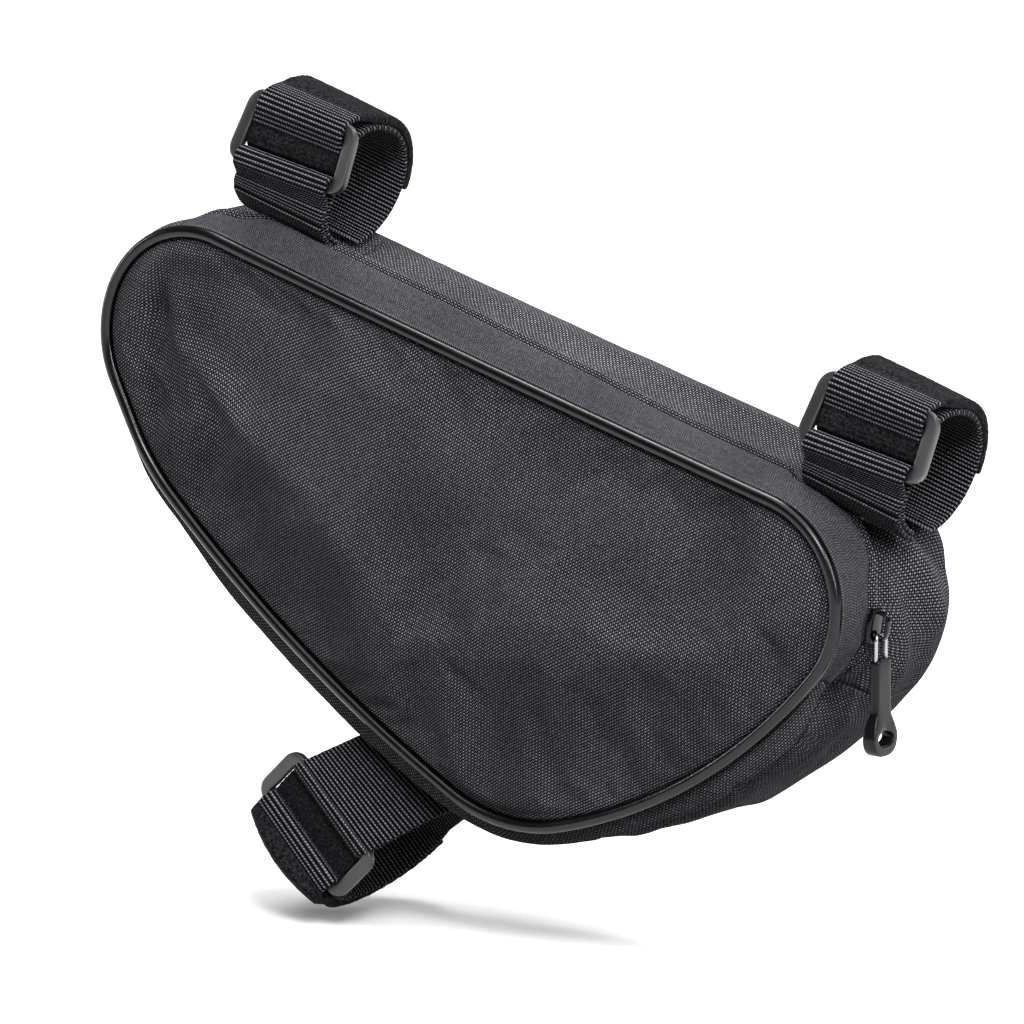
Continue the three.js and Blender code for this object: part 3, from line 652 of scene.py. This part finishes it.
tape = skin("zip_tape_strip", ZIP_FROM, ZIP_TO, lambda s: FRONT_EDGE - 0.5, lambda s: closing_at(s)[0] - 0.05, 36, TAPE_FOLDS, 0.9, tape_edge)
done(tape, tape_cloth, "bag", "tape", "zip_tape")
top = skin("gusset_upper_strip", ZIP_FROM, ZIP_TO, lambda s: closing_at(s)[0] + 0.05, lambda s: REAR_EDGE + 0.5, 96, SIDE_FOLDS, 1.2, folded_edge)
done(top, cloth_side, "bag", "cloth", "gusset_top")
bottom = skin("gusset_lower_strip", ZIP_TO + 0.2, ZIP_FROM - 0.2 + PERIMETER, lambda s: FRONT_EDGE - 0.5, lambda s: REAR_EDGE + 0.5, 56, SIDE_FOLDS, 1.3)
done(bottom, cloth_side, "bag", "cloth", "gusset_bottom")


# ---------------------------------------------------------------- straps


def polar(r, degrees):
    a = math.radians(degrees)
    return (-r * math.cos(a), r * math.sin(a))


def arc_path(r0, r1, a0, a1, n):
    return [polar(mix(r0, r1, smooth(i / n)), mix(a0, a1, i / n)) for i in range(n + 1)]


def fold_path(centre, r, start, sweep, n):
    angles = [math.radians(start + sweep * i / n) for i in range(n + 1)]
    return [(centre[0] + r * math.cos(a), centre[1] + r * math.sin(a)) for a in angles]


def offset_path(path, d):
    out = []
    for i, p in enumerate(path):
        a, b = path[max(0, i - 1)], path[min(len(path) - 1, i + 1)]
        length = math.dist(a, b)
        out.append((p[0] - (b[1] - a[1]) / length * d, p[1] + (b[0] - a[0]) / length * d))
    return out


def even_path(path, step):
    """The path resampled on a smooth curve through its points, with its length at each."""
    pts = [np.array(p, float) for p in path]
    fine = []
    for i in range(len(pts) - 1):
        p0, p1, p2, p3 = pts[max(0, i - 1)], pts[i], pts[i + 1], pts[min(len(pts) - 1, i + 2)]
        for k in range(8):
            t = k / 8
            fine.append(0.5 * (2 * p1 + (p2 - p0) * t + (2 * p0 - 5 * p1 + 4 * p2 - p3) * t * t + (3 * p1 - p0 - 3 * p2 + p3) * t**3))
    fine.append(pts[-1])
    fine = np.array(fine)
    lengths = np.concatenate([[0], np.cumsum(np.linalg.norm(np.diff(fine, axis=0), axis=1))])
    n = max(8, int(lengths[-1] / step))
    at = np.linspace(0, lengths[-1], n + 1)
    return np.stack([np.interp(at, lengths, fine[:, 0]), np.interp(at, lengths, fine[:, 1])], -1), at


def webbing(name, path, thick, place_point, fuzzy, fuzz_thick=0.6, crown=0.0, dark=None, stitch=0.0):
    """Webbing along a path in (y, z): rounded edges, raised ribs across it, and a rough face where fuzzy(v) is 1."""
    centre, at = even_path(path, 0.35)
    across = 26
    half = WEB_WIDTH / 2
    section = [(-half + 0.5 + (2 * half - 1) * k / across, 0.5, 1) for k in range(across + 1)]
    section += [(half, 0.25, 0.3), (half + 0.05, 0, 0), (half, -0.25, 0.3)]
    section += [(half - 0.5 - (2 * half - 1) * k / 10, -0.5, 1) for k in range(11)]
    section += [(-half, -0.25, 0.3), (-half - 0.05, 0, 0), (-half, 0.25, 0.3)]
    section.append(section[0])
    points, threads, hook = [], [], []
    last = len(centre) - 1
    for i, (y, z) in enumerate(centre):
        a, b = centre[max(0, i - 1)], centre[min(last, i + 1)]
        d = (b - a) / np.linalg.norm(b - a)
        normal = (-d[1], d[0])
        f = fuzzy(at[i], at[-1])
        end = min(1, (at[i] + 0.05) / 0.6, (at[-1] - at[i] + 0.05) / 0.6)
        row = []
        for x, t, rib in section:
            wave = 0.13 * math.cos(2 * math.pi * at[i] / 1.4) * (1 - f)
            if stitch:
                wave += 0.35 * ridge(at[-1] - at[i] - stitch + 1.6, 0.7) - 0.7 * ridge(at[-1] - at[i] - stitch, 0.6)
            rough = 0.22 * f * ripple(x, y, z, 1.1) + 0.1 * ripple(x, y, z, 9)
            side = 1 if t > 0 else -1
            lift = t * thick * math.sqrt(end) + side * rib * (wave + rough) * abs(t) * 2
            lift += (fuzz_thick + crown * (1 - (x / half) ** 2)) * f * math.sqrt(end) * (t > 0) * t * 2
            if rib < 1:
                x += (0.12 * ripple(at[i], x, 0, 1.3, 5) + 0.25 * f * ripple(at[i], x, 3, 0.9, 5))
            row.append(place_point(x, y + normal[0] * lift, z + normal[1] * lift))
        points.append(row)
        threads.append([(k if k < 0 else s_[0], at[i]) for k, s_ in enumerate(section)])
        # Where dark is given, it sets the hook attribute; on the band it paints shade into the recess behind the ring.
        hook.append([dark(at[i], at[-1]) if dark else f] * len(section))
    return grid_piece(name, points, threads, False, True, hook)


def close_ends(piece):
    bpy.context.view_layer.objects.active = piece
    bpy.ops.object.mode_set(mode="EDIT")
    bpy.ops.mesh.select_all(action="DESELECT")
    bpy.ops.mesh.select_mode(type="EDGE")
    bpy.ops.mesh.select_non_manifold(extend=False, use_wire=False, use_multi_face=False, use_non_contiguous=False, use_verts=False)
    bpy.ops.mesh.fill_holes(sides=0)
    bpy.ops.mesh.select_mode(type="VERT")
    bpy.ops.object.mode_set(mode="OBJECT")


def ring(name, place_point):
    """The flat plastic ring, made lying down: a rounded slab, its opening cut through, its edges bevelled."""
    bpy.ops.mesh.primitive_cube_add(size=1, location=(0, 0, 0))
    piece = bpy.context.object
    piece.name = name
    bpy.ops.object.mode_set(mode="EDIT")
    bpy.ops.transform.resize(value=(48, 23, 3))
    bpy.ops.mesh.select_mode(type="EDGE")
    bpy.ops.mesh.select_all(action="DESELECT")
    bm = bmesh.from_edit_mesh(piece.data)
    for e in bm.edges:
        if abs(e.verts[0].co.z - e.verts[1].co.z) > 1:
            e.select = True
    bmesh.update_edit_mesh(piece.data)
    bpy.ops.mesh.bevel(offset=5.5, segments=8, affect="EDGES")
    bpy.ops.mesh.select_mode(type="FACE")
    bpy.ops.mesh.select_all(action="DESELECT")
    bm = bmesh.from_edit_mesh(piece.data)
    bm.faces.ensure_lookup_table()
    for f in bm.faces:
        f.select = abs(f.normal.z) > 0.9
    bmesh.update_edit_mesh(piece.data)
    bpy.ops.mesh.inset(thickness=3.4, use_boundary=True)
    bpy.ops.transform.resize(value=((48 - 9.2) / (48 - 6.8), 1, 1), center_override=(0, 0, 0))
    bpy.ops.mesh.bridge_edge_loops()
    bpy.ops.mesh.select_all(action="SELECT")
    bpy.ops.mesh.normals_make_consistent(inside=False)
    bpy.ops.object.mode_set(mode="OBJECT")
    apply(piece, "BEVEL", width=0.75, segments=3, limit_method="ANGLE", angle_limit=math.radians(40))
    mesh = piece.data
    mesh.vertices.foreach_set("co", np.array([place_point(*v.co) for v in mesh.vertices]).ravel())
    mesh.update()
    out_faces(piece, None)
    return piece


def strap(name, r, angle, lean, ends, flip, x0, z0, fall, shear):
    """The sewn anchor holds the ring's lower bar, and the band is turned back over the upper bar, which stands
    lean further out."""
    near = r + AIR + WEB_BAND + 0.3 + 1.95
    far = near + lean
    half = math.degrees(math.acos((near**2 + far**2 - 4 * 9.8**2) / (2 * near * far))) / 2
    low_at, high_at = angle - half, angle + half
    low, high = polar(near, low_at), polar(far, high_at)
    face = math.atan2(high[0] - low[0], high[1] - low[1])
    a, b = WEB_ANCHOR, WEB_BAND
    fold_a, fold_b = 1.7 + 0.6 + a / 2, 1.7 + 0.6 + b / 2
    in_a, in_b = r + AIR + a / 2, r + AIR + b / 2
    out_b = in_b + b + 0.3
    under = ends["anchor"](in_a, low_at)
    over = [p for p in offset_path(under, -(a + 0.3)) if math.dist(p, low) > 5.6]
    anchor = under[::-1] + fold_path(low, fold_a, -low_at - 12, 227, 12) + over
    inner = ends["tie"](in_b) + arc_path(in_b, in_b, 180, ends["reach"], 14)
    outer = ends["over"] + arc_path(out_b, out_b, ends["lies_from"], ends["free"], 10)
    band = inner + ends["turn"] + outer
    outer_length = sum(math.dist(p, q) for p, q in zip(outer, outer[1:]))
    c, s = math.cos(math.radians(fall)), math.sin(math.radians(fall))

    def at(x, y, z, bent=True):
        if flip:
            z = -z
        if bent:
            x, y, z = shear(x, y, z)
        return upright((x0 + x * c + z * s, y, z0 - x * s + z * c))

    def fuzzy(v, total):
        return smooth((v - (total - outer_length + ends["ribs"])) / ends["soft"])

    def hook_face_and_recess_shade(v, total):
        """The band's real hook face towards its outer end, and painted shade in the recess behind the ring, drawn as
        the strap's dark hook face.
        """
        first, last = ends["recess"]
        before = total - outer_length - v
        return max(smooth(0.8 - ends["ribs"] - before), smooth(before - first) * smooth((last - before) / 3.0))

    piece = webbing(name + "_anchor_webbing", anchor, a, at, lambda v, total: 0.0, stitch=ends["stitch"])
    close_ends(piece)
    out_faces(piece, None)
    done(piece, web_cloth, "bag", "webbing", name + "_anchor")
    piece = webbing(name + "_band_webbing", band, b, at, fuzzy, *ends["fuzz"], hook_face_and_recess_shade)
    close_ends(piece)
    out_faces(piece, None)
    done(piece, web_cloth, "bag", "webbing", name + "_band")

    def ring_at(x, y, z):
        middle = ((low[0] + high[0]) / 2, (low[1] + high[1]) / 2)
        in_y = middle[0] + y * math.sin(face) - z * math.cos(face)
        return at(x, in_y, middle[1] + y * math.cos(face) + z * math.sin(face), lean > 0)

    piece = ring(name + "_ring_moulding", ring_at)
    done(piece, ring_plastic, "bag", "plastic", name + "_ring")


def ring_twist(x, y, z):
    """The buckled ring sits a little askew, low at its front end, and takes the webbing round its bars along."""
    t = min(1.2, max(0, (z - 3.1) / 17.35))
    share = smooth((10 - y) / 24) * smooth((z + 16) / 19)
    return x, y + (4 - 3.7 * t - 0.108 * x * t) * share, z + (2.55 * t - 2.8 + 0.099 * x) * share


upper_ends = {
    "anchor": lambda r, start: arc_path(r, r, start - 6, -74, 14),
    "tie": lambda r: arc_path(r, r, 258, 188, 10),
    "free": 188,
    "stitch": 17.0,
    "reach": 20,
    "turn": [(-19.9, 6.3), (-21.0, 7.4), (-20.6, 10.0), (-19.3, 12.6), (-19.6, 14.2), (-19.9, 16.6), (-19.9, 18.6), (-19.0, 20.6), (-17.2, 22.2), (-14.3, 23.2)],
    "over": [(-10.4, 23.8), (-7, 23.5), (-2.5, 23.05), (2, 22.75), (6.5, 21.8)],
    "lies_from": 118,
    "ribs": 0.5,
    "soft": 5.0,
    # recess: span before the outer layer, in mm, painted dark as shade behind the ring.
    "recess": (16, 40),
    "fuzz": (1.2, 0.3),
}
strap("front_strap", UPPER_R, 29, 3, upper_ends, False, STRAPS_X[0], 0, 0, ring_twist)
strap("rear_strap", UPPER_R, 29, 3, upper_ends, False, STRAPS_X[1], 0, 0, ring_twist)

# The lower strap is sewn to the gusset, whose surface leans a little against the strap.
LOWER = (-38.9, -198.5, 28.25, 6.0)
cos_fall, sin_fall = math.cos(math.radians(LOWER[2])), math.sin(math.radians(LOWER[2]))


def lower_seat():
    """Height of the gusset where the strap is sewn on, and its rise along the webbing, in the strap's own axes."""
    surface = []
    for k in range(600):
        s = 480 + k * 0.25
        x, y, z = place(s, height(s, -6), -6)
        dx, dz = x - LOWER[0], z - LOWER[1]
        surface.append((dx * cos_fall - dz * sin_fall, dx * sin_fall + dz * cos_fall))

    def level(at):
        return min(surface, key=lambda p: abs(p[0] - at))[1]

    return level(LOWER[3]), (level(LOWER[3] + 16) - level(LOWER[3] - 16)) / 32


seat_top, seat_rise = lower_seat()
low_end = -(seat_top - WEB_ANCHOR / 2 + 0.3)
low_tie = -(seat_top - WEB_BAND / 2 + 0.3)


def lower_shear(x, y, z):
    t = min(1, max(0, (z - 8) / (-low_end - 8)))
    return x + LOWER[3] * t, y, z + x * seat_rise * t


lower_ends = {
    "anchor": lambda r, start: [polar(r, start - 7), (-18.5, low_end + 10), (-15, low_end + 4.5), (-11.5, low_end + 1.3), (-7, low_end), (0, low_end)],
    "tie": lambda r: [(3, low_tie), (8, low_tie + 0.4), (12, low_tie + 3), (15, low_tie + 7.5), polar(r, 206), polar(r, 193)],
    "free": 180,
    "stitch": 0.0,
    "reach": -9,
    "turn": [(-23.9, -5.1), (-24.6, -4.2), (-24.6, 1.0), (-24.4, 5.0), (-25.2, 6.5), (-27.2, 6.9), (-28.5, 8.8), (-28.5, 11.6), (-27.0, 14.4)],
    "over": [(-24.6, 16.8), (-21.4, 18.4)],
    "lies_from": 52,
    "ribs": -6.4,
    "soft": 2.2,
    # recess: span before the outer layer, in mm, painted dark as shade behind the ring.
    "recess": (14.2, 36),
    "fuzz": (1.6, 3.0),
}
strap("lower_strap", LOWER_R, 0, 0, lower_ends, True, LOWER[0], LOWER[1], LOWER[2], lower_shear)

# ---------------------------------------------------------------- slider and pull

SLIDE = 276.0
sx, sz, snx, snz = station(SLIDE)
ax, az, _, _ = station(SLIDE + 1)
slide_y = closing_at(SLIDE)[0]
zip_way = np.array([ax - sx, 0, az - sz])
zip_way /= np.linalg.norm(zip_way)
outward = np.array([snx, 0, snz])
across_way = np.cross(outward, zip_way)
seat_height = max(height(SLIDE, slide_y + d) for d in (-3.8, 0, 3.8)) + 0.3
slide_origin = np.array(place(SLIDE, seat_height, slide_y))


def on_slider(x, y, z):
    return upright(slide_origin + zip_way * x + across_way * y + outward * z)


def move_points(piece, place_point):
    mesh = piece.data
    mesh.vertices.foreach_set("co", np.array([place_point(*v.co) for v in mesh.vertices]).ravel())
    mesh.update()


# Slider body: a rounded plate, waisted in the middle, with a domed top.
bpy.ops.mesh.primitive_cube_add(size=1, location=(0, 0, 0))
plate = bpy.context.object
plate.name = "slider_plate"
bpy.ops.object.mode_set(mode="EDIT")
bpy.ops.transform.resize(value=(11, 7.6, 2))
bpy.ops.transform.translate(value=(0, 0, 1))
bpy.ops.mesh.subdivide(number_cuts=4)
bpy.ops.object.mode_set(mode="OBJECT")
for v in plate.data.vertices:
    t = abs(v.co.x) / 5.5
    v.co.y *= 0.86 + 0.14 * math.cos(t * math.pi) ** 2
    v.co.y *= math.sqrt(max(0.1, 1 - 0.5 * t**6))
    v.co.z -= (abs(v.co.y) / 3.8) ** 2 * 0.35 * (v.co.z > 1.2)
apply(plate, "BEVEL", width=0.35, segments=2, limit_method="ANGLE", angle_limit=math.radians(50))
apply(plate, "SUBSURF", levels=1, render_levels=1)
# Bail: a flat strap bent into an arch over the plate.
arch = [(-4.6, 1.4), (-4.4, 3.2), (-3.9, 4.6), (-2.6, 5.5), (-0.6, 5.75), (1.6, 5.7), (3.2, 5.1), (4.1, 4.0), (4.45, 2.8), (4.5, 1.4)]
centre, at_ = even_path([(p[0], p[1]) for p in arch], 0.35)
points, threads = [], []
for i, (x, z) in enumerate(centre):
    a, b = centre[max(0, i - 1)], centre[min(len(centre) - 1, i + 1)]
    d = (b - a) / np.linalg.norm(b - a)
    normal = np.array([-d[1], d[0]])
    row = []
    for k in range(17):
        q = k / 16 * 2 * math.pi
        wide = 1.2 * math.copysign(abs(math.cos(q)) ** 0.55, math.cos(q))
        thick = 0.52 * math.copysign(abs(math.sin(q)) ** 0.7, math.sin(q))
        row.append((x + normal[0] * thick, wide, z + normal[1] * thick))
    points.append(row)
    threads.append([(k, at_[i]) for k in range(17)])
bail = grid_piece("slider_bail", points, threads, False, True)
close_ends(bail)
bail.select_set(True)
plate.select_set(True)
bpy.context.view_layer.objects.active = plate
bpy.ops.object.join()
plate.name = "slider_body"
move_points(plate, on_slider)
out_faces(plate, None)
done(plate, slider_enamel, "bag", "metal", "zip_slider")

hinge = np.array(on_slider(5.5 - 1 - 1.1 - 0.6 - 0.3, 0, 2 + 1.9 - 0.2))


def on_pull(x, y, z):
    return hinge + np.array((x, y, z)) * 0.001


# Wire loop of the pull, from the bail down into the grip.
loop_points = [(-2.75, -9.0), (-2.75, -4.0), (-2.75, -1.4), (-2.3, -0.35), (-1.4, 0), (0, 0), (1.4, 0), (2.3, -0.35), (2.75, -1.4), (2.75, -4.0), (2.75, -9.0)]
centre, at_ = even_path(loop_points, 0.3)
points, threads = [], []
for i, (y, z) in enumerate(centre):
    a, b = centre[max(0, i - 1)], centre[min(len(centre) - 1, i + 1)]
    d = (b - a) / np.linalg.norm(b - a)
    row = []
    for k in range(17):
        q = k / 16 * 2 * math.pi
        row.append((0.6 * math.sin(q), y - d[1] * 0.6 * math.cos(q), z + d[0] * 0.6 * math.cos(q)))
    points.append(row)
    threads.append([(k, at_[i]) for k in range(17)])
wire = grid_piece("pull_wire_loop", points, threads, False, True)
close_ends(wire)
move_points(wire, on_pull)
out_faces(wire, None)
done(wire, plated_wire, "pull", "metal", "pull_wire")

# Grip: a flat tongue that swells into a round end with an oval eye; rows run from the eye round the rim and back.
GRIP_TOP, GRIP_LONG, BULB_R = -7.3, 31.0, 6.0
GRIP_LOW = GRIP_TOP - GRIP_LONG
BULB_Z = GRIP_LOW + BULB_R


def grip_outline(n):
    """The outline in (y, z) and the eye's matching points, clockwise from the middle of the top."""
    half = [(0, GRIP_TOP), (1.8, GRIP_TOP), (2.7, GRIP_TOP - 0.15), (3.3, GRIP_TOP - 0.6), (3.6, GRIP_TOP - 1.4), (3.65, GRIP_TOP - 6)]
    half += [(3.7, GRIP_TOP - 12), (3.9, GRIP_TOP - 17), (4.5, BULB_Z + 6.4), (5.9, BULB_Z + 3.4), (6.8, BULB_Z + 0.6), (6.6, BULB_Z - 2.0)]
    half += [(5.3, BULB_Z - 4.3), (3.1, GRIP_LOW + 0.35), (0, GRIP_LOW)]
    whole = half + [(-y, z) for y, z in half[-2::-1]]
    line, _ = even_path(whole, 0.3)
    at = np.linspace(0, len(line) - 1, n + 1)
    y, z = np.interp(at, range(len(line)), line[:, 0]), np.interp(at, range(len(line)), line[:, 1])
    return y, z


gy, gz = grip_outline(120)
# Each row: share of the way from the eye to the flat face's rim, half thickness, and how far in from the outline.
sections = [(0.0, 0.0, None), (0.0, 0.7, None), (0.02, 0.9, None), (0.07, 1.0, None), (0.3, 1.0, None), (0.65, 1.0, None)]
sections += [(1.0, 1.0, None), (1.0, 0.97, 0.3), (1.0, 0.86, 0.12), (1.0, 0.68, 0.0), (1.0, 0.0, 0.0)]
sections += [(share, -h, inset) for share, h, inset in sections[-2::-1]]
points, threads = [], []
for share, h, inset in sections:
    row = []
    for k in range(121):
        y, z = gy[k], gz[k]
        a = math.atan2(z - BULB_Z + 0.2, y)
        ey, ez = 4.3 * math.cos(a), BULB_Z - 0.2 + 2.2 * math.sin(a)
        before, after = (k - 1) % 120, (k + 1) % 120
        ky, kz = gy[after] - gy[before], gz[after] - gz[before]
        length = math.hypot(ky, kz)
        rim = 0.5 if inset is None else inset
        rim_y, rim_z = y + kz / length * rim, z - ky / length * rim
        if inset is None:
            rim_y, rim_z = mix(ey, rim_y, share), mix(ez, rim_z, share)
        half_thick = mix(1.6, 2.3, smooth((BULB_Z + 9 - rim_z) / 9))
        row.append((half_thick * h, rim_y, rim_z))
    points.append(row)
    threads.append([(k, share) for k in range(121)])
grip = grid_piece("pull_grip_tongue", points, threads, True, True)
move_points(grip, on_pull)
out_faces(grip, None)
done(grip, grip_plastic, "pull", "grip", "pull_grip")

# The coil lies under the tape, so its CAD strip stays and only gets its material.
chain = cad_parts["zip_chain"]
chain.data.materials.clear()
chain.data.materials.append(coil_nylon)

# ---------------------------------------------------------------- floor and light

low_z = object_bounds()[0][2]
bpy.ops.mesh.primitive_circle_add(vertices=96, radius=14, fill_type="NGON", location=(0, 0, low_z - 0.002))
floor = bpy.context.object
floor.name = "floor"
floor.data.materials.append(floor_paint)
floor.select_set(False)
floor.visible_diffuse = False


def area_light(name, place_, aim, size, power, tall=None):
    data = bpy.data.lights.new(name, "AREA")
    data.shape = "RECTANGLE"
    data.size, data.size_y = size, tall or size
    data.energy = power
    light = bpy.data.objects.new(name, data)
    scene.collection.objects.link(light)
    light.location = place_
    light.rotation_euler = (Vector(aim) - Vector(place_)).to_track_quat("-Z", "Y").to_euler()
    light.visible_camera = False


area_light("key", (1.9, -1.9, 2.2), (0, 0, -0.05), 0.9, 110)
area_light("top", (-0.4, 0.3, 2.3), (0, 0, -0.05), 0.9, 48)
area_light("right", (2.3, -0.5, 0.9), (0, 0, -0.05), 0.28, 52, 1.3)
area_light("left", (-2.2, -0.6, 0.2), (0, 0, -0.08), 0.16, 16, 1.3)
area_light("rear", (0.3, 2.4, 1.2), (0, 0, -0.05), 1.2, 30)
sun = bpy.data.lights.new("overhead", "SUN")
sun.energy = 2.9
sun.angle = math.radians(60)
overhead = bpy.data.objects.new("overhead", sun)
overhead.rotation_euler = (math.radians(18), math.radians(14), 0)
scene.collection.objects.link(overhead)
world = bpy.data.worlds.new("studio")
scene.world = world
world.use_nodes = True
world.node_tree.nodes["Background"].inputs[0].default_value = colour("#f6f6f6")
world.node_tree.nodes["Background"].inputs[1].default_value = 0.26
